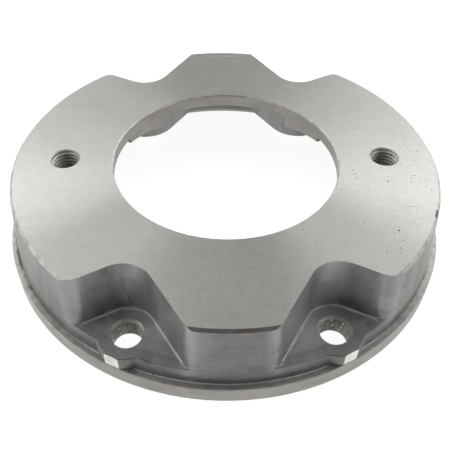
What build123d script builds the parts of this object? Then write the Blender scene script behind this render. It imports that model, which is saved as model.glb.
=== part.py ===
from build123d import *
import os
from math import cos, pi, radians, sin, tan

# Pump mounting flange: one aluminium casting, hollow underneath, machined on its
# top face, bore, tapped holes, bolt pads, rims and registers. Millimetres.
# The frame stands at the centre of the base face: +Z up the bore, X through the
# two tapped holes, the two scalloped lobes along Y.

# Heights above the base face
flange_height = 47.0
pad_height = 18.3
lip_height = 10.0
register_depth = 7.5

# Pump side: pilot bore and the two tapped holes for the pump
pilot_bore_dia = 127.0
bore_chamfer = 0.7
top_plate_thickness = 7.4
tapped_hole_spacing = 181.0
thread_dia = 15.875
tapped_depth = 25.0
tap_drill_dia = 13.5
drilled_depth = 29.0
drill_point_angle = 118.0
bore_relief = 0.55
tapped_mouth_chamfer = 0.5
tapped_boss_dia = 31.0
tapped_boss_bottom = 10.0

# Housing side: rim, register and the four through holes on a circle in from the rim
rim_radius = 125.6
rim_edge_chamfer = 0.5
rim_face_width = 10.5
register_chamfer = 0.3
bolt_circle_inset = 14.7
bolt_angle = 62.91
through_hole_dia = 15.0
hole_mouth_chamfer = 1.3
bolt_boss_radius = 14.8
boss_land_inset = 0.35
boss_blend = 2.5

# Cast outer wall: a drafted cone, cut back by four scallops over the bolt pads
lip_width = 3.4
wall_lean = 3.5
land_chamfer = 1.3
pad_step = 0.15
machining_allowance = 1.5
foot_blend = 1.2
cove_steps = 3
pad_edge_blend = 0.8

# Scallop plan at the top face and at the pad: how far its centre lies from the hole's,
# its root radius, the directions in which its two flanks run out, and the rounded
# corners where they meet the wall
scallop_top_shift_x = 0.8
scallop_top_shift_y = -4.15
scallop_top_radius = 15.5
scallop_foot_shift_x = 0.2
scallop_foot_shift_y = -0.45
scallop_foot_radius = 15.0
lobe_flank_angle = 120.6
side_flank_top_angle = 28.6
side_flank_foot_angle = 26.4
lobe_corner_top = 7.0
lobe_corner_foot = 9.0
side_corner_top = 9.0
side_corner_foot = 7.4

# Cored hollow: the wall follows the scallops inside, and the core draws downwards
core_ledge = 8.2
core_draft = 3.0
core_scallop_shift_x = 3.1
core_scallop_shift_y = -5.65
core_scallop_radius = 20.0
core_lobe_flank_angle = 122.5
core_side_flank_angle = 28.6
core_lobe_corner = 4.0
core_side_corner = 8.0
ceiling_blend = 3.0

# Four thickened sectors of the top plate beside the bore, deeper towards the lobes
stiffener_start_angle = 27.0
stiffener_end_angle = 52.4
stiffener_outer_radius = 88.0
stiffener_start_depth = 3.9
stiffener_end_depth = 7.6

# Sizes that follow from those above
register_radius = rim_radius - rim_face_width
core_radius = register_radius - core_ledge
wall_foot_radius = rim_radius - lip_width
wall_top_radius = wall_foot_radius - wall_lean
land_radius = wall_top_radius - land_chamfer
ceiling_height = flange_height - top_plate_thickness
bolt_circle_radius = rim_radius - bolt_circle_inset
bolt_x = bolt_circle_radius * cos(radians(bolt_angle))
bolt_y = bolt_circle_radius * sin(radians(bolt_angle))


def scallop_points(x, y, root_radius, lobe_angle, side_angle, lobe_corner, side_corner, outer_radius):
    """Key points of one quarter of the outline, from the lobe to the side.

    The flanks leave the root arc at its tangent points. Each corner arc touches
    its flank and the outer circle: its centre lies one corner radius off the
    flank line, and one corner radius inside the circle.
    """
    centre = Vector(x, y)
    flanks = []
    for angle, side, corner in ((lobe_angle, 1, lobe_corner), (side_angle, -1, side_corner)):
        along = Vector(cos(radians(angle)), sin(radians(angle)))
        across = Vector(-along.Y, along.X) * side
        start = centre + across * root_radius
        offset_start = start + across * corner
        run = along.dot(offset_start)
        reach = (outer_radius - corner) ** 2 - offset_start.dot(offset_start)
        travel = -run + (run ** 2 + reach) ** 0.5
        corner_centre = offset_start + along * travel
        on_circle = corner_centre.normalized() * outer_radius
        on_flank = corner_centre - across * corner
        toward = (on_circle - corner_centre) + (on_flank - corner_centre)
        corner_mid = corner_centre + toward.normalized() * corner
        flanks.append((on_circle, corner_mid, on_flank, start))
    root_mid_direction = (flanks[0][3] - centre) + (flanks[1][3] - centre)
    root_mid = centre + root_mid_direction.normalized() * root_radius
    lobe, side = flanks
    return [lobe[0], lobe[1], lobe[2], lobe[3], root_mid, side[3], side[2], side[1], side[0]]


def scalloped_outline(height, outer_radius, **scallop):
    """Closed outline with four scallops, mirrored about X and Y, at one height."""
    quarter = scallop_points(outer_radius=outer_radius, **scallop)
    mirrors = ((1, 1, False), (1, -1, True), (-1, -1, False), (-1, 1, True))
    edges = []
    first = previous = None
    for mirror_x, mirror_y, backwards in mirrors:
        points = [Vector(p.X * mirror_x, p.Y * mirror_y, height) for p in quarter]
        if backwards:
            points.reverse()
        if previous is None:
            first = points[0]
        else:
            edges.append(arc_about_axis(previous, points[0], height, outer_radius))
        edges.append(Edge.make_three_point_arc(points[0], points[1], points[2]))
        edges.append(Edge.make_line(points[2], points[3]))
        edges.append(Edge.make_three_point_arc(points[3], points[4], points[5]))
        edges.append(Edge.make_line(points[5], points[6]))
        edges.append(Edge.make_three_point_arc(points[6], points[7], points[8]))
        previous = points[8]
    edges.append(arc_about_axis(previous, first, height, outer_radius))
    return Wire(edges)


def arc_about_axis(start, end, height, radius):
    """Short arc about the bore axis from start to end."""
    middle = Vector(start.X + end.X, start.Y + end.Y).normalized() * radius
    return Edge.make_three_point_arc(start, Vector(middle.X, middle.Y, height), end)


def turned(*points):
    """Solid turned about Z from the radius and height of its section points."""
    section = Polyline(*[(radius, 0, height) for radius, height in points], close=True)
    return revolve(make_face(section), axis=Axis.Z)


def at_each_bolt(solid):
    """Copies of a solid at the four through holes, one in each quarter."""
    return [Pos(side * bolt_x, end * bolt_y) * solid for side in (-1, 1) for end in (-1, 1)]


# Cast wall above the pads, lofted from the pads to above the top face
def wall_radius(height):
    """Radius of the drafted outer wall at a height."""
    rise = (height - lip_height) / (flange_height - lip_height)
    return wall_foot_radius + (wall_top_radius - wall_foot_radius) * rise


def wall_section(height, spread=0):
    """Scalloped outline of the cast wall, its sizes shared out between foot and top.

    Spread moves the flanks and the root out over the pad, and dies away in the
    corners, as a cove at the wall's foot does.
    """
    rise = (height - pad_height) / (flange_height - pad_height)

    def between(foot, top):
        return foot + (top - foot) * rise

    return scalloped_outline(
        height,
        wall_radius(height),
        x=bolt_x + between(scallop_foot_shift_x, scallop_top_shift_x),
        y=bolt_y + between(scallop_foot_shift_y, scallop_top_shift_y),
        root_radius=between(scallop_foot_radius, scallop_top_radius) - spread,
        lobe_angle=lobe_flank_angle,
        side_angle=between(side_flank_foot_angle, side_flank_top_angle),
        lobe_corner=between(lobe_corner_foot, lobe_corner_top) + spread,
        side_corner=between(side_corner_foot, side_corner_top) + spread,
    )


def cast_wall():
    """Wall as one ruled loft: from the lip up through the pads, a cove, the drafted wall."""
    sections = [wall_section(lip_height, foot_blend)]
    for step in range(cove_steps + 1):
        angle = pi / 2 * step / cove_steps
        height = pad_height + foot_blend * (1 - cos(angle))
        sections.append(wall_section(height, foot_blend * (1 - sin(angle))))
    sections.append(wall_section(flange_height + machining_allowance))
    return Solid.make_loft(sections, ruled=True)


def cast_base():
    """Rim, lip and pads turned in one, with a blended boss round each through hole.

    The pads lie a small step inside the wall's face.
    """
    solid = turned(
        (0, 0),
        (rim_radius - rim_edge_chamfer, 0),
        (rim_radius, rim_edge_chamfer),
        (rim_radius, lip_height - boss_land_inset),
        (rim_radius - boss_land_inset, lip_height),
        (wall_foot_radius - pad_step, lip_height),
        (wall_radius(pad_height) - pad_step, pad_height),
        (0, pad_height),
    )
    boss = Pos(0, 0, lip_height) * upright_cylinder(bolt_boss_radius, pad_height - lip_height)
    solid += at_each_bolt(boss)
    junctions = [edge for edge in solid.edges() if rises_beside_boss(edge)]
    solid = fillet(junctions, boss_blend)
    solid = fillet(solid.edges().filter_by_position(Axis.Z, pad_height, pad_height), pad_edge_blend)
    turning = upright_cylinder(rim_radius + bolt_boss_radius, pad_height)
    turning -= upright_cylinder(rim_radius - boss_land_inset, pad_height)
    return solid - Pos(0, 0, lip_height) * turning


def rises_beside_boss(edge):
    """True for the upright edges where a boss meets the drafted wall."""
    size = edge.bounding_box().size
    return size.Z > (pad_height - lip_height) / 2 and size.X < size.Z and size.Y < size.Z


def upright_cylinder(radius, height):
    """Cylinder standing on the origin."""
    return Cylinder(radius, height, align=(Align.CENTER, Align.CENTER, Align.MIN))


def core_section(height):
    """Scalloped outline of the hollow, narrowing by its draft towards the ceiling."""
    inset = (height - register_depth) * tan(radians(core_draft))
    return scalloped_outline(
        height,
        core_radius - inset,
        x=bolt_x + core_scallop_shift_x,
        y=bolt_y + core_scallop_shift_y,
        root_radius=core_scallop_radius + inset,
        lobe_angle=core_lobe_flank_angle,
        side_angle=core_side_flank_angle,
        lobe_corner=core_lobe_corner,
        side_corner=core_side_corner,
    )


def stiffener():
    """Thickened sector in the first quarter, between two upright radial ends."""
    inner_radius = pilot_bore_dia / 2 - ceiling_blend
    ends = []
    for angle, depth in (
        (stiffener_start_angle, stiffener_start_depth),
        (stiffener_end_angle, stiffener_end_depth),
    ):
        low = ceiling_height - depth
        high = ceiling_height + ceiling_blend
        section = ((inner_radius, low), (stiffener_outer_radius, low))
        section += ((stiffener_outer_radius, high), (inner_radius, high))
        turn = radians(angle)
        ends.append(Wire.make_polygon([(r * cos(turn), r * sin(turn), z) for r, z in section]))
    return Solid.make_loft(ends, ruled=True)


def tapped_boss():
    """Boss round the tapped hole on +X, run out into the side wall."""
    height = ceiling_height - tapped_boss_bottom + ceiling_blend
    web = Box(
        core_radius - tapped_hole_spacing / 2,
        tapped_boss_dia,
        height,
        align=(Align.MIN, Align.CENTER, Align.MIN),
    )
    place = Pos(tapped_hole_spacing / 2, 0, tapped_boss_bottom)
    return place * (upright_cylinder(tapped_boss_dia / 2, height) + web)


def hollow():
    """Space inside the casting, from the base face up to the ceiling."""
    core = Solid.make_loft([core_section(register_depth), core_section(ceiling_height)], ruled=True)
    core = fillet(core.edges().group_by(Axis.Z)[-1], ceiling_blend)
    for body in (stiffener(), tapped_boss()):
        pair = [body, body.mirror(Plane.YZ)]
        core -= pair + [half.mirror(Plane.XZ) for half in pair]
    register = turned(
        (0, 0),
        (register_radius + register_chamfer, 0),
        (register_radius, register_chamfer),
        (register_radius, register_depth),
        (0, register_depth),
    )
    return core + register


def pilot_bore():
    """Bore through the top plate, chamfered at the pump face and relieved below the plate."""
    radius = pilot_bore_dia / 2
    return turned(
        (0, register_depth),
        (radius + bore_relief, register_depth),
        (radius + bore_relief, ceiling_height),
        (radius, ceiling_height),
        (radius, flange_height - bore_chamfer),
        (radius + bore_chamfer, flange_height),
        (0, flange_height),
    )


def tapped_hole():
    """Blind hole at thread size, then the tap drill and its point."""
    thread = thread_dia / 2
    drill = tap_drill_dia / 2
    point = drill / tan(radians(drill_point_angle / 2))
    return turned(
        (0, flange_height),
        (thread + tapped_mouth_chamfer, flange_height),
        (thread, flange_height - tapped_mouth_chamfer),
        (thread, flange_height - tapped_depth),
        (drill, flange_height - tapped_depth),
        (drill, flange_height - drilled_depth),
        (0, flange_height - drilled_depth - point),
    )


def through_hole():
    """Plain hole through a pad, with a chamfered mouth under the bolt head."""
    radius = through_hole_dia / 2
    return turned(
        (0, 0),
        (radius, 0),
        (radius, pad_height - hole_mouth_chamfer),
        (radius + hole_mouth_chamfer, pad_height),
        (0, pad_height),
    )


lathe_envelope = turned(
    (0, 0),
    (rim_radius, 0),
    (rim_radius, flange_height - (rim_radius - land_radius)),
    (land_radius, flange_height),
    (0, flange_height),
)
flange = (cast_base() + cast_wall()) & lathe_envelope
flange -= hollow()
flange -= pilot_bore()
flange -= [Pos(side * tapped_hole_spacing / 2, 0) * tapped_hole() for side in (-1, 1)]
flange -= at_each_bolt(through_hole())

os.makedirs("parts", exist_ok=True)
export_step(flange, "parts/mounting_flange.step")
print("mounting flange", round(flange.volume / 1000, 1), "cm3 in", len(flange.solids()), "solid")
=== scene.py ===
from math import pi

import bpy
import numpy as np
from mathutils import Matrix, Vector
from mathutils.bvhtree import BVHTree


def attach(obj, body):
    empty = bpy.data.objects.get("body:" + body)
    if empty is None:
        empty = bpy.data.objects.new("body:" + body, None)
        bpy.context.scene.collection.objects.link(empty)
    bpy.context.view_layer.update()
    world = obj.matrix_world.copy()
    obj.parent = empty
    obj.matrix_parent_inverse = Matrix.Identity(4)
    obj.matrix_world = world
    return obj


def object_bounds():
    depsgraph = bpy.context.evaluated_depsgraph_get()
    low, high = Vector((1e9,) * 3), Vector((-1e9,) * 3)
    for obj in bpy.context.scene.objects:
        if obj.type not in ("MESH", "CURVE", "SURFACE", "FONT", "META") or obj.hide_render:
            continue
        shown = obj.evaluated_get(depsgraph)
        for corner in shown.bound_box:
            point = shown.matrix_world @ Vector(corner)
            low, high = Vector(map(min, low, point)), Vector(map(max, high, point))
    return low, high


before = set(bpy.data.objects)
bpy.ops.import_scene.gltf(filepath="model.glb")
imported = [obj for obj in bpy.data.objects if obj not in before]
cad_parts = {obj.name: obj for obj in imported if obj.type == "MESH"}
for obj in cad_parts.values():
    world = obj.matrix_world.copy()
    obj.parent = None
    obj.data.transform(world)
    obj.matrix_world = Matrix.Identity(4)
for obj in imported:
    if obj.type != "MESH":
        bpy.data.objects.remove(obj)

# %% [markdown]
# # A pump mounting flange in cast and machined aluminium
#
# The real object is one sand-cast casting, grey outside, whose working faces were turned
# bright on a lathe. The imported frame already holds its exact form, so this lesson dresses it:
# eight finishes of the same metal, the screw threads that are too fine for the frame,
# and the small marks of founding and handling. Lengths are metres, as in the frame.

MM = 0.001
cad_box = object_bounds()
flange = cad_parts["mounting_flange"]
print("frame loaded, box", [tuple(round(v, 4) for v in corner) for corner in cad_box])

# %% [markdown]
# ## The camera
#
# A circle seen at a slant is an ellipse, and the ellipses of the bore, the rim and the
# holes fix where a camera stood. Solving for them gave the lens, the height of the view,
# its small roll and the small turn of the part. The camera is then set by its own axes.

# %% Camera
LENS = 48.1
SENSOR = 36.0
VIEW_ELEVATION, VIEW_ROLL, VIEW_TURN = np.radians((44.98, 1.22, -2.55))
VIEW_DISTANCE = 0.37545
VIEW_SLIDE = (-0.00066, 0.00556)


def turn_about_z(angle):
    """Rotation matrix: x' = x cos a - y sin a, y' = x sin a + y cos a."""
    c, s = np.cos(angle), np.sin(angle)
    return np.array(((c, -s, 0), (s, c, 0), (0, 0, 1)))


def camera_axes(elevation, roll):
    """Right, up and forward of a camera that looks along +Y and down by its elevation."""
    forward = np.array((0, np.cos(elevation), -np.sin(elevation)))
    right = np.array((1.0, 0, 0))
    up = np.cross(right, forward)
    rolled_right = np.cos(roll) * right + np.sin(roll) * up
    rolled_up = np.cos(roll) * up - np.sin(roll) * right
    return rolled_right, rolled_up, forward


right, up, forward = camera_axes(VIEW_ELEVATION, VIEW_ROLL)
place = -VIEW_DISTANCE * forward - VIEW_SLIDE[0] * right - VIEW_SLIDE[1] * up
turn = turn_about_z(VIEW_TURN)
pose = np.eye(4)
pose[:3, :3] = np.stack([turn @ right, turn @ up, turn @ -forward], axis=1)
pose[:3, 3] = turn @ place

camera_data = bpy.data.cameras.new("camera")
camera_data.lens = LENS
camera_data.sensor_width = SENSOR
camera = bpy.data.objects.new("camera", camera_data)
bpy.context.collection.objects.link(camera)
camera.matrix_world = Matrix(pose.tolist())
bpy.context.scene.camera = camera
bpy.context.scene.view_settings.view_transform = "Standard"
print("camera at", np.round(pose[:3, 3], 4))

# %% [markdown]
# ## Small helpers for node trees
#
# Every finish below is a handful of nodes, and each node is wired the same way: make it,
# set its constants, plug in what feeds it. One helper keeps those three steps on a line.

# %% Node helpers
MIX_FIRST, MIX_SECOND, MIX_RESULT = 6, 7, 2
BLUE_DROP = 1.7


def add_node(tree, kind, inputs=None, **settings):
    """New node of a kind: settings are its properties, inputs its values or links."""
    node = tree.nodes.new(kind)
    for name, value in settings.items():
        setattr(node, name, value)
    for name, value in (inputs or {}).items():
        feed(tree, node.inputs[name], value)
    return node


def feed(tree, socket, value):
    """Give a socket a constant, or plug another node's result into it."""
    if isinstance(value, bpy.types.NodeSocket):
        tree.links.new(value, socket)
    else:
        socket.default_value = value


def maths(tree, operation, first, second):
    """Result of one arithmetic step on two numbers or links."""
    return add_node(tree, "ShaderNodeMath", {0: first, 1: second}, operation=operation).outputs[0]


def product(tree, first, *others):
    """All the given numbers or links multiplied together."""
    for other in others:
        first = maths(tree, "MULTIPLY", first, other)
    return first


def weighted_sum(tree, *parts):
    """Sum of value x weight over (value, weight) pairs."""
    total = maths(tree, "MULTIPLY", *parts[0])
    for value, weight in parts[1:]:
        total = maths(tree, "ADD", total, maths(tree, "MULTIPLY", value, weight))
    return total


def ramp(tree, value, low, high, out_low=0.0, out_high=1.0):
    """Value eased from low..high to out_low..out_high, and held beyond both ends."""
    inputs = {"Value": value, "From Min": low, "From Max": high,
              "To Min": out_low, "To Max": out_high}
    node = add_node(tree, "ShaderNodeMapRange", inputs, interpolation_type="SMOOTHSTEP")
    return node.outputs["Result"]


def noise(tree, where, size, detail=3.0, roughness=0.5, stretch=None):
    """Cloudy noise from 0 to 1 whose lumps are about size metres across."""
    if stretch:
        where = add_node(tree, "ShaderNodeMapping", {"Vector": where, "Scale": stretch}).outputs[0]
    inputs = {"Vector": where, "Scale": 1 / size, "Detail": detail, "Roughness": roughness}
    return add_node(tree, "ShaderNodeTexNoise", inputs).outputs["Fac"]


def blend(tree, share, first, second, kind="MIX"):
    """Colour that goes from first to second, or to their product, as share goes from 0 to 1."""
    inputs = {"Factor": share, MIX_FIRST: first, MIX_SECOND: second}
    node = add_node(tree, "ShaderNodeMix", inputs, data_type="RGBA", blend_type=kind)
    return node.outputs[MIX_RESULT]


def grey(level, warmth=0.0):
    """Opaque grey, with a little more red and less blue as warmth grows."""
    return (level * (1 + warmth), level, level * (1 - BLUE_DROP * warmth), 1.0)


def split(tree, vector):
    """The X, Y and Z of a vector, by name."""
    return add_node(tree, "ShaderNodeSeparateXYZ", {0: vector}).outputs


def vector_maths(tree, operation, first, second=(0.0, 0.0, 0.0)):
    """Result of one step on two vectors or links."""
    node = add_node(tree, "ShaderNodeVectorMath", {0: first, 1: second}, operation=operation)
    return node.outputs[0]


def length_of(tree, vector):
    """Length of a vector."""
    return add_node(tree, "ShaderNodeVectorMath", {0: vector}, operation="LENGTH").outputs["Value"]


def new_metal(name, roughness, anisotropic=0.0, metallic=1.0):
    """Material with a bare-metal shader, its node tree and object coordinates."""
    material = bpy.data.materials.new(name)
    material.use_nodes = True
    tree = material.node_tree
    shader = tree.nodes["Principled BSDF"]
    shader.inputs["Metallic"].default_value = metallic
    shader.inputs["Roughness"].default_value = roughness
    shader.inputs["Anisotropic"].default_value = anisotropic
    where = add_node(tree, "ShaderNodeTexCoord").outputs["Object"]
    return material, tree, shader, where


def bump(tree, shader, height, distance):
    """Relief on a shader: height from 0 to 1 stands for distance metres."""
    node = add_node(tree, "ShaderNodeBump", {"Height": height, "Distance": distance})
    tree.links.new(node.outputs["Normal"], shader.inputs["Normal"])


# %% [markdown]
# ## The turned pump face
#
# A lathe tool leaves rings too fine to see one by one. They spread reflections across
# the rings, so the face shows two bright fans and two dark ones. That is an anisotropic
# gloss whose direction runs straight out from the bore: the place on the face without
# its height. Clouds of unevenness and a frosty grain soften the fans, and tiny pores of
# the casting, opened by the tool, gather on one side.

# %% Turned face
FLANGE_TOP = cad_box[1][2]
PORE_CELL = 2.1 * MM
RINGS_PER_METRE = 900.0


def out_from_bore(tree, where):
    """Direction across the turning marks: the place without its height."""
    return vector_maths(tree, "MULTIPLY", where, (1.0, 1.0, 0.0))


def open_pores(tree, where):
    """Dark specks: cells of a Voronoi pattern whose middle is near, in a few cells only."""
    cells = add_node(tree, "ShaderNodeTexVoronoi", {"Vector": where, "Scale": 1 / PORE_CELL})
    speck = ramp(tree, cells.outputs["Distance"], 0.08, 0.16, 1.0, 0.0)
    chosen = ramp(tree, split(tree, cells.outputs["Color"])["X"], 0.86, 0.90)
    crowd = ramp(tree, noise(tree, where, 0.03, detail=2.0), 0.40, 0.60)
    right_side = ramp(tree, split(tree, where)["X"], -30 * MM, 70 * MM, 0.2, 1.0)
    return product(tree, speck, chosen, crowd, right_side)


def turned_face():
    """Finish of the pump face."""
    material, tree, shader, where = new_metal("turned_face", 0.38, anisotropic=0.95)
    outward = out_from_bore(tree, where)
    tree.links.new(outward, shader.inputs["Tangent"])
    clouds = noise(tree, where, 0.040, detail=4.0)
    blotches = noise(tree, where, 0.006, detail=3.0)
    frost = noise(tree, where, 0.0011, detail=2.0, roughness=0.7)
    ring_inputs = {"W": length_of(tree, outward), "Scale": RINGS_PER_METRE, "Detail": 4.0}
    rings = add_node(tree, "ShaderNodeTexNoise", ring_inputs, noise_dimensions="1D").outputs["Fac"]
    tone = weighted_sum(tree, (clouds, 0.20), (blotches, 0.20), (frost, 0.46), (rings, 0.14))
    metal = blend(tree, ramp(tree, tone, 0.36, 0.64), grey(0.61, 0.024), grey(0.71, 0.024))
    metal = blend(tree, open_pores(tree, where), metal, grey(0.10, 0.02))
    tree.links.new(metal, shader.inputs["Base Color"])
    tree.links.new(ramp(tree, tone, 0.36, 0.64, 0.41, 0.35), shader.inputs["Roughness"])
    bump(tree, shader, weighted_sum(tree, (rings, 0.5), (frost, 0.5)), 0.02 * MM)
    return material


# %% [markdown]
# ## The other machined faces and the drilled holes
#
# The bore, the rim and the register are turned too, but their marks run round a wall, so
# fine level lines do the work. Edges and chamfers are the same metal, rubbed or scraped
# brighter by handling. A drill leaves a darker wall with upright streaks and torn bright
# spots. Two pinkish smears, on the front lobe's edge and on the rim, only tint the colour.

# %% Machined walls, edges and drilled walls
PINK = (1.0, 0.85, 0.83, 1.0)
PINK_SMEARS = (7.7 * MM, -117.5 * MM, 46.5 * MM), (-28.1 * MM, -122.4 * MM, 9.0 * MM)


def smeared(tree, where, metal):
    """The metal's colour, times pink within about 3 mm of either smear."""
    for place in PINK_SMEARS:
        away = length_of(tree, vector_maths(tree, "SUBTRACT", where, place))
        metal = blend(tree, ramp(tree, away, MM, 4 * MM, 1.0, 0.0), metal, PINK, "MULTIPLY")
    return metal


def bored_wall():
    """Finish of the bore, the rim and the register."""
    material, tree, shader, where = new_metal("bored_wall", 0.40)
    lines = noise(tree, where, 0.0030, detail=3.0, stretch=(0.12, 0.12, 7.0))
    clouds = noise(tree, where, 0.012, detail=3.0)
    tone = weighted_sum(tree, (lines, 0.6), (clouds, 0.4))
    metal = blend(tree, ramp(tree, tone, 0.36, 0.64), grey(0.25, 0.045), grey(0.33, 0.040))
    tree.links.new(smeared(tree, where, metal), shader.inputs["Base Color"])
    bump(tree, shader, lines, 0.03 * MM)
    return material


def rubbed_edge():
    """Finish of the land on either lobe's edge and of the spots milled on the bosses."""
    material, tree, shader, where = new_metal("rubbed_edge", 0.34)
    wear = noise(tree, where, 0.004, detail=4.0, roughness=0.65)
    metal = blend(tree, ramp(tree, wear, 0.35, 0.6), grey(0.55, 0.030), grey(0.74, 0.025))
    tree.links.new(smeared(tree, where, metal), shader.inputs["Base Color"])
    tree.links.new(ramp(tree, wear, 0.35, 0.65, 0.40, 0.30), shader.inputs["Roughness"])
    bump(tree, shader, wear, 0.03 * MM)
    return material


def scraped_edge():
    """Finish of the holes' and the bore's mouths, the outer edges and the coves."""
    material, tree, shader, where = new_metal("scraped_edge", 0.48, metallic=0.45)
    wear = noise(tree, where, 0.006, detail=4.0, roughness=0.6)
    metal = blend(tree, ramp(tree, wear, 0.36, 0.64), grey(0.48, 0.035), grey(0.72, 0.025))
    tree.links.new(smeared(tree, where, metal), shader.inputs["Base Color"])
    bump(tree, shader, wear, 0.05 * MM)
    return material


def drilled_wall():
    """Finish of the through holes and the tapped holes."""
    material, tree, shader, where = new_metal("drilled_wall", 0.46, metallic=0.85)
    streaks = noise(tree, where, 0.0016, detail=3.0, stretch=(1.0, 1.0, 0.25))
    spots = noise(tree, where, 0.0021, detail=2.0)
    dark = blend(tree, ramp(tree, streaks, 0.36, 0.64), grey(0.10, 0.06), grey(0.19, 0.05))
    metal = blend(tree, ramp(tree, spots, 0.63, 0.72), dark, grey(0.72, 0.02))
    tree.links.new(metal, shader.inputs["Base Color"])
    bump(tree, shader, maths(tree, "ADD", streaks, spots), 0.05 * MM)
    return material


# %% [markdown]
# ## The cast skin
#
# A casting from a smooth mould is dull but not matt: its upright corners still catch soft
# lights. Its skin is cool grey clouds with fine grain, and bare metal where the top edge was
# rubbed. Painted highlights lighten the upright corners, hollows and flanks. Brown dirt with
# painted shade fills the outer half of each pocket, most at its foot, painted shade darkens
# the outer wall towards the lip, and dirt with painted shade lies in the corner where that
# wall meets the lip.

# %% Cast skin
LIP_TOP = 10.0 * MM
PAD_TOP = 18.3 * MM
BOLT_X, BOLT_Y = 50.5 * MM, 98.75 * MM
SKIRT_RADIUS = 114.0 * MM
WALL_FOOT_RADIUS = 121.0 * MM

# Upright lines on the scalloped wall, as |x| and |y|, round which highlights and shade are painted
LOBE_CORNER = 20.0 * MM, 118.0 * MM
POCKET_CORNER = 76.0 * MM, 89.0 * MM
BRIGHT_HOLLOW = 45.0 * MM, 81.0 * MM
FLANK = 36.0 * MM, 95.0 * MM
DIRT_AND_SHADE_HOLLOW = 62.0 * MM, 83.0 * MM


def near_upright(tree, where, x, y, inner, outer):
    """1 near the four upright lines at (+-x, +-y), 0 beyond outer, in metres."""
    away = vector_maths(tree, "SUBTRACT", vector_maths(tree, "ABSOLUTE", where), (x, y, 0.0))
    return ramp(tree, length_of(tree, out_from_bore(tree, away)), inner, outer, 1.0, 0.0)


def pocket_dirt_and_shade(tree, where):
    """Brown dirt and painted shade from 0 to 1: in the outer half of each pocket, and most at its
    foot.
    """
    near = near_upright(tree, where, *DIRT_AND_SHADE_HOLLOW, 5 * MM, 15 * MM)
    foot = ramp(tree, split(tree, where)["Z"], PAD_TOP - MM, PAD_TOP + 16 * MM, 1.0, 0.25)
    uneven = ramp(tree, noise(tree, where, 0.007, detail=5.0), 0.34, 0.62, 0.25, 1.0)
    return product(tree, near, foot, uneven)


def painted_corner_sheen(tree, where):
    """Painted highlight from 0 to 1: on upright corners, in hollows and on the lobes' flanks."""
    # The wear mask here is a painted highlight, not wear.
    wear = near_upright(tree, where, *LOBE_CORNER, 1.5 * MM, 7 * MM)
    for line, reach in ((POCKET_CORNER, 9 * MM), (BRIGHT_HOLLOW, 16 * MM), (FLANK, 15 * MM)):
        wear = maths(tree, "MAXIMUM", wear, near_upright(tree, where, *line, 2 * MM, reach))
    patches = noise(tree, where, 0.006, detail=3.0, stretch=(1.0, 1.0, 0.35))
    return product(tree, wear, ramp(tree, patches, 0.30, 0.60, 0.5, 1.0))


def top_edge_wear(tree, where):
    """Rubbed metal from 0 to 1 on the last millimetre below the pump face, in patches."""
    high = ramp(tree, split(tree, where)["Z"], FLANGE_TOP - 0.9 * MM, FLANGE_TOP - 0.3 * MM)
    patchy = ramp(tree, noise(tree, where, 0.014, detail=3.0), 0.45, 0.60)
    return product(tree, high, patchy)


def skirt_shade(tree, where):
    """Painted shade from 0 to 1: smeared level on the outer wall, and more of it towards the lip.
    """
    low = ramp(tree, split(tree, where)["Z"], LIP_TOP + MM, FLANGE_TOP, 1.0, 0.25)
    reach = length_of(tree, out_from_bore(tree, where))
    outside = ramp(tree, reach, SKIRT_RADIUS, SKIRT_RADIUS + 3 * MM)
    smears = noise(tree, where, 0.008, detail=5.0, roughness=0.6, stretch=(0.5, 0.5, 1.6))
    return product(tree, low, outside, ramp(tree, smears, 0.34, 0.62, 0.45, 1.0))


def away_from_front(tree, where):
    """0 at the front of the lip, 1 from its sides to its back."""
    return ramp(tree, split(tree, where)["Y"], -84 * MM, -56 * MM)


def dirt_and_shade_side(tree, where):
    """Share of the dirt and painted shade along the lip: none in front, most on the left, little
    on the right.
    """
    left = ramp(tree, split(tree, where)["X"], -40 * MM, 40 * MM, 1.0, 0.25)
    return product(tree, away_from_front(tree, where), left)


def foot_dirt_and_shade(tree, where):
    """Dirt and painted shade from 0 to 1: on the lowest millimetre of the outer wall, mostly on
    the left.
    """
    height = split(tree, where)["Z"]
    reach = length_of(tree, out_from_bore(tree, where))
    low = ramp(tree, height, LIP_TOP + 0.7 * MM, LIP_TOP + 1.1 * MM, 1.0, 0.0)
    above_lip = ramp(tree, height, LIP_TOP - 0.1 * MM, LIP_TOP - 0.05 * MM)
    outside = ramp(tree, reach, WALL_FOOT_RADIUS, WALL_FOOT_RADIUS + 0.5 * MM)
    uneven = ramp(tree, noise(tree, where, 0.005, detail=3.0), 0.35, 0.5, 0.3, 1.0)
    return product(tree, low, above_lip, outside, uneven, dirt_and_shade_side(tree, where))


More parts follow.
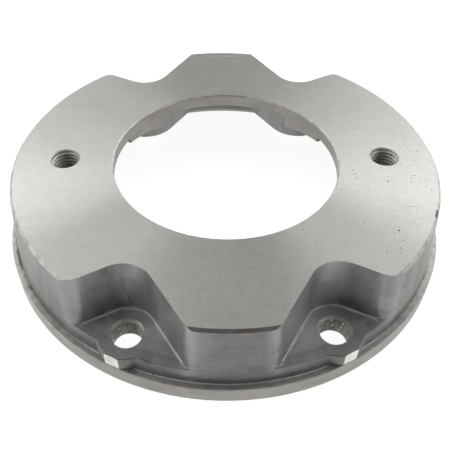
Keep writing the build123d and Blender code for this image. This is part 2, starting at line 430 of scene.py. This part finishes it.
def cast_skin():
    """Finish of every face that was left as cast."""
    material, tree, shader, where = new_metal("cast_skin", 0.40, metallic=0.42)
    clouds = noise(tree, where, 0.028, detail=4.0)
    grain = noise(tree, where, 0.0010, detail=3.0, roughness=0.6)
    smears = noise(tree, where, 0.006, detail=3.0, stretch=(0.6, 0.6, 1.6))
    streaks = noise(tree, where, 0.005, detail=3.0, stretch=(1.0, 1.0, 0.12))
    tone = weighted_sum(tree, (clouds, 0.35), (grain, 0.30), (smears, 0.15), (streaks, 0.20))
    skin = blend(tree, ramp(tree, tone, 0.38, 0.62), grey(0.275, 0.014), grey(0.385, 0.004))
    # Painted highlight: a lighter grey on corners, hollows and flanks, which also lowers the
    # roughness.
    painted_sheen = product(tree, painted_corner_sheen(tree, where), 0.62)
    for share, colour in (
        (painted_sheen, grey(0.60, -0.010)),
        (product(tree, top_edge_wear(tree, where), 0.7), grey(0.66, 0.02)),
        # Brown dirt with painted shade in the outer half of each pocket, most at its foot.
        (product(tree, pocket_dirt_and_shade(tree, where), 0.62), grey(0.09, 0.09)),
        # Painted shade on the outer wall, darker towards the lip.
        (product(tree, skirt_shade(tree, where), 0.52), grey(0.10, 0.12)),
        # Dirt with painted shade on the wall's lowest millimetre, mostly on the left.
        (foot_dirt_and_shade(tree, where), grey(0.07, 0.12)),
    ):
        skin = blend(tree, share, skin, colour)
    tree.links.new(skin, shader.inputs["Base Color"])
    roughness = ramp(tree, tone, 0.38, 0.62, 0.45, 0.35)
    roughness = maths(tree, "SUBTRACT", roughness, product(tree, painted_sheen, 0.08))
    tree.links.new(roughness, shader.inputs["Roughness"])
    swell = noise(tree, where, 0.011, detail=2.0)
    bump(tree, shader, maths(tree, "ADD", product(tree, grain, 0.10), swell), 0.4 * MM)
    return material


# %% [markdown]
# ## The lip at the base
#
# The lip was turned too, but it lies in the way of every splash: it is duller than the
# pump face, and darker in front, where the darkness is painted shade. Brown dirt with painted
# shade lies in the corner along the wall, mostly on the left, and in front a thin light line
# in that corner is a painted highlight.

# %% Lip, with dirt, painted shade and a painted highlight


def lip_dirt_and_painted_light():
    """Finish of the lip: dull metal with painted shade in front; along the wall, a painted
    highlight line in front and brown dirt with painted shade on the sides.
    """
    material, tree, shader, where = new_metal("lip_dirt_and_painted_light", 0.5, metallic=0.8)
    reach = length_of(tree, out_from_bore(tree, where))
    inner = ramp(tree, reach, 122.4 * MM, 124.4 * MM, 1.0, 0.0)
    uneven = ramp(tree, noise(tree, where, 0.007, detail=4.0), 0.35, 0.6, 0.3, 1.0)
    # Brown dirt with painted shade in the corner along the wall.
    dirt = product(tree, inner, uneven, dirt_and_shade_side(tree, where))
    # A thin painted highlight along the wall, in front only.
    highlight_line = ramp(tree, reach, 122.6 * MM, 122.95 * MM, 0.9, 0.0)
    front = ramp(tree, split(tree, where)["Y"], -106 * MM, -90 * MM, 1.0, 0.0)
    clouds = ramp(tree, noise(tree, where, 0.005, detail=4.0), 0.30, 0.70)
    # The dull colour is painted shade: it darkens the front of the lip.
    dull = blend(tree, clouds, grey(0.29, 0.02), grey(0.41, 0.02))
    clean = blend(tree, clouds, grey(0.46, 0.03), grey(0.64, 0.03))
    metal = blend(tree, away_from_front(tree, where), dull, clean)
    metal = blend(tree, product(tree, highlight_line, front), metal, grey(0.90))
    tree.links.new(blend(tree, dirt, metal, grey(0.09, 0.10)), shader.inputs["Base Color"])
    bump(tree, shader, clouds, 0.08 * MM)
    return material


# %% [markdown]
# ## Which face gets which finish
#
# The frame's mesh keeps the exact borders between machined and cast faces, so nothing
# has to be painted: the middle and the direction of each triangle tell where it lies.

# %% Finishes on the frame
RIM_RADIUS = cad_box[1][0]
REGISTER_DEPTH = 7.5 * MM
BORE_RADIUS = 63.5 * MM
TAPPED_X = 90.5 * MM
CAST, TURNED, BORED, DRILLED, RUBBED, LIP_FINISH, SCRAPED = range(7)

# How far in from the rim, or in height, the small machined faces reach
NEAR = 0.05 * MM
RIM_BAND = 0.3 * MM
MILLED_SPOT_BAND = 0.6 * MM
LIP_EDGE_BAND = 0.5 * MM
TOP_EDGE_BAND = 1.5 * MM
HOLE_MOUTH_BAND = 1.4 * MM
TAPPED_MOUTH_BAND = 2.0 * MM
COVE_BAND = 0.1 * MM, 1.0 * MM

# Radii, from the part's axis or a hole's, and a width that set faces apart
BORE_WALL_RADIUS = BORE_RADIUS + 0.9 * MM
BORE_MOUTH_RADIUS = BORE_RADIUS + 2.0 * MM
SIDE_EDGE_RADIUS = 110.0 * MM
SIDE_EDGE_Y = 96.0 * MM
COVE_RADIUS = 118.0 * MM
BOLT_HOLE_REACH = 8.9 * MM
TAPPED_HOLE_REACH = 8.6 * MM
TAPPED_MOUTH_REACH = 9.0 * MM


def triangle_middles(mesh):
    """Middle and normal of every face, as two arrays."""
    middles = np.empty(len(mesh.polygons) * 3)
    normals = np.empty(len(mesh.polygons) * 3)
    mesh.polygons.foreach_get("center", middles)
    mesh.polygons.foreach_get("normal", normals)
    return middles.reshape(-1, 3), normals.reshape(-1, 3)


def finish_numbers(mesh):
    """Finish of each triangle, from its height, its radius and which way it faces."""
    middle, normal = triangle_middles(mesh)
    x, y, z = middle.T
    upward = normal[:, 2]
    radius = np.hypot(x, y)
    outward = (normal[:, 0] * x + normal[:, 1] * y) / radius
    slanted = (upward > 0.55) & (upward < 0.85)
    in_from_rim = RIM_RADIUS - radius
    above_lip, above_pad, under_top = z - LIP_TOP, z - PAD_TOP, FLANGE_TOP - z
    from_tapped = np.hypot(np.abs(x) - TAPPED_X, y)
    from_bolt = np.hypot(np.abs(x) - BOLT_X, np.abs(y) - BOLT_Y)
    at_lip_edge = (np.abs(above_lip) < LIP_EDGE_BAND) & (in_from_rim < LIP_EDGE_BAND) & slanted
    at_top_edge = (under_top < TOP_EDGE_BAND) & slanted
    at_side = (radius > SIDE_EDGE_RADIUS) & (np.abs(y) < SIDE_EDGE_Y)
    in_cove = (above_pad > COVE_BAND[0]) & (above_pad < COVE_BAND[1]) & (radius < COVE_RADIUS)
    in_bolt_hole = (from_bolt < BOLT_HOLE_REACH) & (above_pad < 0)

    number = np.full(len(x), CAST, dtype=np.int32)
    number[z < REGISTER_DEPTH + NEAR] = BORED
    number[(in_from_rim < RIM_BAND) & (above_lip < 0) & (outward > 0.9)] = BORED
    number[(in_from_rim < MILLED_SPOT_BAND) & (above_lip > 0) & (outward > 0.99)] = RUBBED
    number[at_lip_edge] = SCRAPED
    number[(np.abs(above_lip) < NEAR) & (upward > 0.99)] = LIP_FINISH
    number[(radius < BORE_WALL_RADIUS) & (outward < -0.5)] = BORED
    number[at_top_edge] = RUBBED
    number[at_top_edge & (at_side | (radius < BORE_MOUTH_RADIUS))] = SCRAPED
    number[in_cove & slanted] = SCRAPED
    number[in_bolt_hole & (above_pad > -HOLE_MOUTH_BAND) & slanted] = SCRAPED
    number[in_bolt_hole & (z > NEAR) & (np.abs(upward) < 0.5)] = DRILLED
    in_tapped_hole = (from_tapped < TAPPED_HOLE_REACH) & (z > REGISTER_DEPTH)
    number[in_tapped_hole & (np.abs(upward) < 0.85)] = DRILLED
    at_tapped_mouth = (from_tapped < TAPPED_MOUTH_REACH) & (under_top < TAPPED_MOUTH_BAND)
    number[at_tapped_mouth & slanted] = SCRAPED
    number[under_top < NEAR] = TURNED
    return number


flange.data.materials.clear()
for make_finish in (
    cast_skin, turned_face, bored_wall, drilled_wall, rubbed_edge, lip_dirt_and_painted_light, scraped_edge
):
    flange.data.materials.append(make_finish())
numbers = finish_numbers(flange.data)
flange.data.polygons.foreach_set("material_index", numbers)
print("triangles by finish: cast, turned, bored, drilled, rubbed, soiled, scraped",
      np.bincount(numbers))

# %% [markdown]
# ## The screw threads
#
# The frame has the tapped holes as plain bores at the thread's outer size. The thread
# itself is a ridge that winds down the bore: at every direction round the hole the same
# zigzag profile is used, only shifted down by the share of a turn. Written so, it is one
# formula on a grid of directions and heights, closed behind by a plain sleeve.

# %% Threads
PITCH = 25.4 / 11 * MM
THREAD_OUTER = 7.93 * MM
THREAD_INNER = 6.75 * MM
THREAD_LENGTH = 24.4 * MM
THREAD_START = 0.5 * MM
THREAD_SKIN = 0.03 * MM
FLANK_SLOPE = 2.6
CREST_FLAT = 0.15
MOUTH_PITCHES = 0.8
THREAD_ROUND = 72
STEPS_PER_PITCH = 12


def grid_faces(rows, columns):
    """Four-cornered faces of a grid that is closed along both of its directions."""
    row, column = np.meshgrid(np.arange(rows), np.arange(columns), indexing="ij")
    next_row, next_column = (row + 1) % rows, (column + 1) % columns
    corners = (row, column), (row, next_column), (next_row, next_column), (next_row, column)
    return np.stack([r * columns + c for r, c in corners], axis=-1).reshape(-1, 4)


def mesh_piece(name, points, faces, material):
    """Smooth-shaded object made of points and faces, riding on the casting."""
    mesh = bpy.data.meshes.new(name)
    mesh.from_pydata(points.reshape(-1, 3).tolist(), [], faces.tolist())
    mesh.polygons.foreach_set("use_smooth", np.ones(len(mesh.polygons), dtype=bool))
    mesh.materials.append(material)
    piece = bpy.data.objects.new(name, mesh)
    bpy.context.collection.objects.link(piece)
    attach(piece, "root")
    print(name, "has", len(faces), "faces")


def thread_points(centre_x):
    """Thread of one hole on a grid of directions and profile steps.

    The radius is inner + depth * zigzag(height / pitch - direction / turn), with
    flattened crests and roots, and it opens out to the mouth over the last turn. The
    profile then runs back up a plain sleeve at the bore's own radius.
    """
    steps = int(THREAD_LENGTH / PITCH * STEPS_PER_PITCH)
    drop = np.linspace(0, THREAD_LENGTH, steps)
    direction = np.linspace(0, 2 * pi, THREAD_ROUND, endpoint=False)
    phase = (drop[None, :] / PITCH - direction[:, None] / (2 * pi)) % 1
    zigzag = np.clip(FLANK_SLOPE * np.abs(phase - 0.5) - CREST_FLAT, 0, 1)
    mouth = np.clip(1 - drop / (MOUTH_PITCHES * PITCH), 0, 1)[None, :]
    share = zigzag + (1 - zigzag) * mouth
    inner = THREAD_INNER + (THREAD_OUTER - THREAD_SKIN - THREAD_INNER) * share
    outer = np.full_like(inner, THREAD_OUTER)
    radius = np.concatenate([inner, outer[:, ::-1]], axis=1)
    height = FLANGE_TOP - THREAD_START - np.concatenate([drop, drop[::-1]])[None, :]
    x = centre_x + radius * np.cos(direction)[:, None]
    y = radius * np.sin(direction)[:, None]
    return np.stack([x, y, np.broadcast_to(height, radius.shape)], axis=-1)


def cut_thread():
    """Finish of the threads, dulled by oil."""
    material, tree, shader, where = new_metal("cut_thread", 0.50, metallic=0.7)
    wear = noise(tree, where, 0.002, detail=3.0)
    metal = blend(tree, ramp(tree, wear, 0.35, 0.65), grey(0.44, 0.03), grey(0.60, 0.02))
    tree.links.new(metal, shader.inputs["Base Color"])
    return material


thread_metal = cut_thread()
for side, name in ((-1, "thread_left"), (1, "thread_right")):
    points = thread_points(side * TAPPED_X)
    mesh_piece(name, points, grid_faces(*points.shape[:2]), thread_metal)

# %% [markdown]
# ## The marks of founding, machining and handling
#
# The real casting has open pores on its right side, a scar down one pocket wall, chips
# and a nick on its edges, and a scratch. Each is a small closed bead of its own, laid
# where the photograph shows it: a ray from the camera through that pixel of the picture,
# 452 pixels each way, meets the casting, and the bead is drawn in the surface there.

# %% Placing marks
PICTURE = 452
BEAD_UNEVENNESS = 0.25
EDGE_SINK = 0.005 * MM
BEAD_DEPTH = 0.05 * MM


def casting_surface():
    """Search tree over the casting's triangles."""
    mesh = flange.data
    spots = np.empty(len(mesh.vertices) * 3)
    mesh.vertices.foreach_get("co", spots)
    triangles = [tuple(polygon.vertices) for polygon in mesh.polygons]
    return BVHTree.FromPolygons(spots.reshape(-1, 3).tolist(), triangles)


surface = casting_surface()


def met_at(pixel_x, pixel_y):
    """Point and normal where the camera's ray through a pixel meets the casting."""
    half, focal = PICTURE / 2, LENS / SENSOR * PICTURE
    ray = turn @ ((pixel_x - half) / focal * right - (pixel_y - half) / focal * up + forward)
    point, normal = surface.ray_cast(Vector(pose[:3, 3]), Vector(ray))[:2]
    return np.array(point), np.array(normal)


def capped_faces(strings, rows, columns):
    """Triangles of many closed strings of rings, each with one point at either end."""
    ring = np.arange(columns)
    after = (ring + 1) % columns
    step = np.arange(rows - 1)[:, None] * columns
    near, near_after = step + ring, step + after
    far, far_after = near + columns, near_after + columns
    last = (rows - 1) * columns
    parts = (
        (near, near_after, far_after), (near, far_after, far),
        (after, ring, np.full(columns, rows * columns)),
        (last + ring, last + after, np.full(columns, rows * columns + 1)),
    )
    one = np.concatenate([np.stack(part, axis=-1).reshape(-1, 3) for part in parts])
    return (one + np.arange(strings)[:, None, None] * (rows * columns + 2)).reshape(-1, 3)


def unit(vectors):
    """Vectors scaled to a length of one."""
    return vectors / np.linalg.norm(vectors, axis=-1, keepdims=True)


def spot_beads(name, spots, material, rise=0.03, sides=12):
    """Lens-shaped beads, one for each (pixel x, pixel y, radius in mm).

    In the surface's own plane the edge is radius * (1 + up to a quarter, either way) in
    each direction, a hair under the surface. One point stands rise mm proud of it, and
    one lies below.
    """
    draw = np.random.default_rng(len(spots))
    middle, normal = (np.array(part) for part in zip(*(met_at(x, y) for x, y, _ in spots)))
    radius = np.array([spot[2] for spot in spots])[:, None] * MM
    first = unit(np.cross(normal, (0.31, 0.53, 0.79)))
    second = np.cross(normal, first)
    angle = np.linspace(0, 2 * pi, sides, endpoint=False)
    uneven = 1 + BEAD_UNEVENNESS * draw.uniform(-1, 1, (len(spots), sides))
    reach = (radius * uneven)[..., None]
    plane = np.cos(angle)[:, None] * first[:, None] + np.sin(angle)[:, None] * second[:, None]
    edge = middle[:, None] + reach * plane - EDGE_SINK * normal[:, None]
    below = (middle - BEAD_DEPTH * normal)[:, None]
    above = (middle + rise * MM * normal)[:, None]
    points = np.concatenate([edge, below, above], axis=1)
    mesh_piece(name, points, capped_faces(len(spots), 1, sides), material)


def line_bead(name, pixels, radius, material, rows=24, sides=8):
    """Round bead along a line of pixels, its radius in mm * root of sin(pi * share)."""
    share = np.linspace(0.02, 0.98, rows)
    corners = np.array(pixels, dtype=float)
    stops = np.linspace(0, 1, len(corners))
    steps = zip(np.interp(share, stops, corners[:, 0]), np.interp(share, stops, corners[:, 1]))
    path = [met_at(x, y) for x, y in steps]
    middle, normal = (np.array(part) for part in zip(*path))
    along = unit(np.gradient(middle, axis=0))
    side = unit(np.cross(along, normal))
    normal = np.cross(side, along)
    angle = np.linspace(0, 2 * pi, sides, endpoint=False)
    reach = (radius * MM * np.sqrt(np.sin(pi * share)))[:, None, None]
    ring = np.cos(angle)[:, None] * normal[:, None] + np.sin(angle)[:, None] * -side[:, None]
    rings = middle[:, None] + reach * ring
    points = np.concatenate([rings.reshape(-1, 3), middle[[0, -1]]])
    mesh_piece(name, points, capped_faces(1, rows, sides), material)


# %% [markdown]
# ### Pores, chips, nick, scratch and scar
#
# Pits are dull and dark, bruises are grey, and chips are fresh and bright. The scar is a
# thin ridge of metal that the mould left, with a bruise beside it. A spot is written as
# pixel x, pixel y and a radius in millimetres, and a line as pixels and one radius.

# %% Marks
PORES = (
    (400.0, 163.4, 0.41), (414.2, 175.5, 0.49), (353.1, 170.3, 0.41), (354.9, 173.5, 0.43),
    (356.6, 177.8, 0.49), (357.5, 191.9, 0.41), (387.7, 181.3, 0.51), (369.0, 189.3, 0.38),
    (411.4, 178.4, 0.43), (418.0, 156.7, 0.38), (399.0, 230.4, 0.57), (394.6, 233.2, 0.41),
    (400.8, 248.0, 0.46), (387.2, 251.4, 0.35), (364.7, 221.3, 0.38), (345.9, 222.0, 0.41),
    (325.6, 231.9, 0.38), (315.8, 243.4, 0.35), (321.7, 244.3, 0.38), (303.2, 229.2, 0.35),
    (289.4, 110.0, 0.43), (328.0, 105.2, 0.35), (351.1, 107.5, 0.32), (366.1, 120.1, 0.35),
    (407.5, 148.5, 0.36), (416.6, 151.2, 0.38), (405.4, 152.2, 0.34), (415.6, 160.4, 0.38),
    (344.6, 112.5, 0.38), (342.1, 126.9, 0.34), (353.0, 135.0, 0.32), (380.9, 167.2, 0.38),
    (342.1, 189.4, 0.34), (431.5, 189.6, 0.34), (410.6, 182.5, 0.36), (389.4, 176.3, 0.34),
    (404.4, 240.6, 0.34), (402.5, 220.6, 0.32), (153.4, 373.2, 0.36), (153.5, 374.6, 0.38),
    (153.8, 376.0, 0.36), (155.6, 376.4, 0.24), (157.8, 376.9, 0.22),
)
NICK = (
    (437.6, 210.6, 0.8), (437.4, 212.0, 0.9), (437.2, 213.4, 1.0), (436.9, 214.8, 1.0),
    (436.6, 216.2, 0.9), (436.3, 217.4, 0.7),
)
CHIPS = (
    (207.5, 57.4, 0.60), (210.6, 57.1, 0.48), (213.1, 57.7, 0.60), (216.2, 56.9, 0.60),
    (220.6, 56.7, 0.54), (220.7, 58.5, 0.45), (226.2, 57.1, 0.63), (228.2, 56.8, 0.54),
    (231.2, 56.6, 0.72), (233.1, 56.9, 0.60), (235.6, 57.2, 0.54),
)


def plain_metal(name, low, high, warmth, roughness, metallic):
    """Small mark's finish: its grey wanders between low and high."""
    material, tree, shader, where = new_metal(name, roughness, metallic=metallic)
    share = ramp(tree, noise(tree, where, 0.0006, detail=2.0), 0.35, 0.65)
    metal = blend(tree, share, grey(low, warmth), grey(high, warmth))
    tree.links.new(metal, shader.inputs["Base Color"])
    return material


dull_pit = plain_metal("dull_pit", 0.03, 0.09, 0.06, 0.7, 0.3)
bruised_metal = plain_metal("bruised_metal", 0.16, 0.24, 0.02, 0.6, 0.5)
fresh_metal = plain_metal("fresh_metal", 0.80, 0.95, 0.01, 0.30, 0.9)
spot_beads("pores", PORES, dull_pit)
spot_beads("edge_nick", NICK, bruised_metal)
spot_beads("edge_chips", CHIPS, fresh_metal, rise=0.3)
line_bead("scratch", ((402.5, 207.2), (412.0, 206.6), (424.5, 206.0)), 0.05, bruised_metal)
line_bead("scar_ridge", ((124.4, 291.2), (126.2, 297.5), (128.9, 307.2)), 0.28, fresh_metal)
line_bead("scar_dirt", ((127.4, 294.0), (129.6, 300.0), (131.2, 306.0)), 0.26, bruised_metal)

# %% [markdown]
# ## Floor, world and lamps
#
# A plain pale sweep and a soft grey-white studio. Bright metal is only as good as what it
# mirrors, so the world is built from soft boxes: each is a round glow about a direction,
# at its full level in the middle and fading to nothing at its edge. The camera sees white
# behind the part, and mirrored and refracted rays see white in the floor and low round
# the horizon.

# %% Floor and light
FLOOR_SIZE = 6.0
FLOOR_GAP = 0.05 * MM
FLOOR_GREY = 0.35
FLOOR_GLOW = 0.91
HORIZON_TOP = 0.10
BOX_SPREAD = 34.0
DIM_LEVEL = 0.06
SOFT_BOXES = (
    # azimuth, elevation, level
    (45, 10, 1.70),
    (67, 10, 0.78),
    (112, 10, 1.05),
    (135, 10, 0.49),
    (157, 10, 0.10),
    (0, 40, 1.43),
    (45, 40, 0.33),
    (135, 40, 0.38),
    (180, 40, 1.03),
    (90, 70, 0.55),
    (180, 70, 0.32),
)
LAMPS = (
    # name, place, size, power
    ("left_back_lamp", (-0.75, 0.65, 0.65), 0.5, 1.35),
    ("right_back_lamp", (0.75, 0.65, 0.65), 0.5, 0.91),
    ("left_side_lamp", (-0.75, -0.10, 0.15), 0.25, 0.41),
)


def seen_or_mirrored(tree):
    """1 for what the camera sees directly, in a reflection or through glass, else 0."""
    path = add_node(tree, "ShaderNodeLightPath").outputs
    mirrored = maths(tree, "MAXIMUM", path["Is Glossy Ray"], path["Is Transmission Ray"])
    return maths(tree, "MAXIMUM", path["Is Camera Ray"], mirrored)


def pale_floor():
    """Large pale square a hair under the base face."""
    half = FLOOR_SIZE / 2
    signs = (-1, -1), (1, -1), (1, 1), (-1, 1)
    corners = [(a * half, b * half, -FLOOR_GAP) for a, b in signs]
    mesh = bpy.data.meshes.new("floor")
    mesh.from_pydata(corners, [], [(0, 1, 2, 3)])
    floor = bpy.data.objects.new("floor", mesh)
    bpy.context.collection.objects.link(floor)
    material = bpy.data.materials.new("pale_floor")
    material.use_nodes = True
    tree = material.node_tree
    shader = tree.nodes["Principled BSDF"]
    shader.inputs["Base Color"].default_value = grey(FLOOR_GREY)
    shader.inputs["Roughness"].default_value = 0.9
    shader.inputs["Specular IOR Level"].default_value = 0.1
    shader.inputs["Emission Color"].default_value = (1, 1, 1, 1)
    glow = product(tree, seen_or_mirrored(tree), FLOOR_GLOW)
    tree.links.new(glow, shader.inputs["Emission Strength"])
    mesh.materials.append(material)


def pointing(azimuth, elevation):
    """Direction with a given azimuth and elevation in degrees."""
    a, e = np.radians((azimuth, elevation))
    return (float(np.cos(e) * np.cos(a)), float(np.cos(e) * np.sin(a)), float(np.sin(e)))


def studio_world():
    """Dim level + sum of boxes: level x smooth step of the cosine from a box to a ray."""
    world = bpy.data.worlds.new("studio")
    bpy.context.scene.world = world
    world.use_nodes = True
    tree = world.node_tree
    tree.nodes.clear()
    direction = add_node(tree, "ShaderNodeTexCoord").outputs["Generated"]
    box_edge = float(np.cos(np.radians(BOX_SPREAD)))
    glow = DIM_LEVEL
    for azimuth, elevation, level in SOFT_BOXES:
        inputs = {0: direction, 1: pointing(azimuth, elevation)}
        cosine = add_node(tree, "ShaderNodeVectorMath", inputs, operation="DOT_PRODUCT")
        box = ramp(tree, cosine.outputs["Value"], box_edge, 1.0, 0.0, level)
        glow = maths(tree, "ADD", glow, box)
    low = ramp(tree, split(tree, direction)["Z"], HORIZON_TOP / 2, HORIZON_TOP, 1.0, 0.0)
    seen = add_node(tree, "ShaderNodeLightPath").outputs["Is Camera Ray"]
    white = maths(tree, "MAXIMUM", product(tree, low, seen_or_mirrored(tree)), seen)
    glow = blend(tree, white, glow, grey(1.0))
    background = add_node(tree, "ShaderNodeBackground", {"Color": glow, "Strength": 1.0})
    output = add_node(tree, "ShaderNodeOutputWorld")
    tree.links.new(background.outputs[0], output.inputs["Surface"])


def soft_lamp(name, place, size, power):
    """Square lamp that faces the part and isn't seen itself."""
    data = bpy.data.lights.new(name, "AREA")
    data.size = size
    data.energy = power
    lamp = bpy.data.objects.new(name, data)
    bpy.context.collection.objects.link(lamp)
    lamp.rotation_euler = Vector(place).to_track_quat("Z", "Y").to_euler()
    lamp.location = place
    lamp.visible_camera = False


pale_floor()
studio_world()
for lamp in LAMPS:
    soft_lamp(*lamp)
print(len(SOFT_BOXES), "soft boxes and", len(LAMPS), "lamps")
